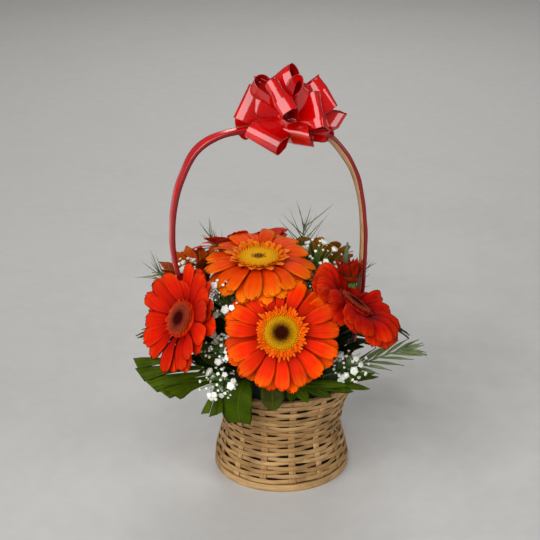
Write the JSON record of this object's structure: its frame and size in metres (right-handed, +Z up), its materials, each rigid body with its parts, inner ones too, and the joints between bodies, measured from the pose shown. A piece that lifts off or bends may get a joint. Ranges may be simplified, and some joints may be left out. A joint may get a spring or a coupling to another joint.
{
  "type": "flower basket arrangement",
  "caption": "Gerberas, leaves and white filler flowers in foam in a waisted woven bamboo basket with a tall ribboned handle and a satin bow.",
  "frame": {"origin": "centre of the basket's flat base, on the surface that it stands on", "axes": "+Z up, the handle's arch lies in the XZ plane, the front of the arrangement faces -Y"},
  "size_m": [0.2742, 0.2342, 0.4031],
  "materials": {
    "bamboo": "satin",
    "bamboo_dark": "matt",
    "disc_brown": "matt florets",
    "disc_yellow": "matt florets",
    "flower_stem": "smooth, slightly waxy",
    "foam": "matt, fine open foam",
    "leaf_dark": "matt, veined",
    "leaf_green": "slightly glossy, veined",
    "leaf_grey": "matt, bloomed",
    "liner": "smooth, thin plastic film",
    "needle": "matt",
    "petal_brown_orange": "soft, finely ridged",
    "petal_dark_red": "soft, finely ridged",
    "petal_orange": "soft, finely ridged",
    "petal_orange_red": "soft, finely ridged",
    "petal_red": "soft, finely ridged",
    "satin_ribbon": "glossy satin",
    "white_floret": "matt"
  },
  "bodies": {
    "root": {"basket_base": "bamboo_dark", "basket_foot_hoop": "bamboo", "basket_wall": "bamboo", "basket_rim": "bamboo", "liner": "liner", "handle_strip": "bamboo", "handle_ribbon": "satin_ribbon", "bow": "satin_ribbon", "leaf_rim_front": "leaf_green", "leaf_rim_middle": "leaf_green", "leaf_left_dark": "leaf_dark", "leaf_right_grey": "leaf_grey", "leaf_back_right": "leaf_green", "leaf_back_left": "leaf_green", "gerbera_top_stem": "flower_stem", "gerbera_top_disc": "disc_yellow", "gerbera_front_stem": "flower_stem", "gerbera_front_disc": "disc_brown", "gerbera_right_stem": "flower_stem", "gerbera_right_disc": "disc_brown", "gerbera_left_stem": "flower_stem", "gerbera_left_disc": "disc_brown", "gerbera_back_left_stem": "flower_stem", "gerbera_back_left_disc": "disc_brown", "gerbera_back_mid_stem": "flower_stem", "gerbera_back_mid_disc": "disc_brown", "gerbera_back_right_stem": "flower_stem", "gerbera_back_right_disc": "disc_brown", "gerbera_back_low_stem": "flower_stem", "gerbera_back_low_disc": "disc_brown", "gerbera_top_petals": "petal_orange", "gerbera_front_petals": "petal_orange_red", "gerbera_right_petals": "petal_dark_red", "gerbera_left_petals": "petal_red", "gerbera_back_left_petals": "petal_brown_orange", "gerbera_back_mid_petals": "petal_orange_red", "gerbera_back_right_petals": "petal_brown_orange", "gerbera_back_low_petals": "petal_orange", "fan_left": "leaf_green", "fan_front_right": "leaf_green", "twig_right": "leaf_green", "frond_back_left": "leaf_green", "frond_back": "leaf_green", "frond_right": "leaf_green", "sprig_back_right": "needle", "sprig_left": "needle", "sprig_back_left": "needle", "sprig_right": "needle", "spray_upper_left": "white_floret", "spray_left_low": "white_floret", "spray_right_low": "white_floret", "spray_upper_right": "white_floret", "spray_top_right": "white_floret", "spray_left_back": "white_floret", "spray_left_gap": "white_floret", "spray_back": "white_floret", "floral_foam": "foam"}
  },
  "joints": []
}
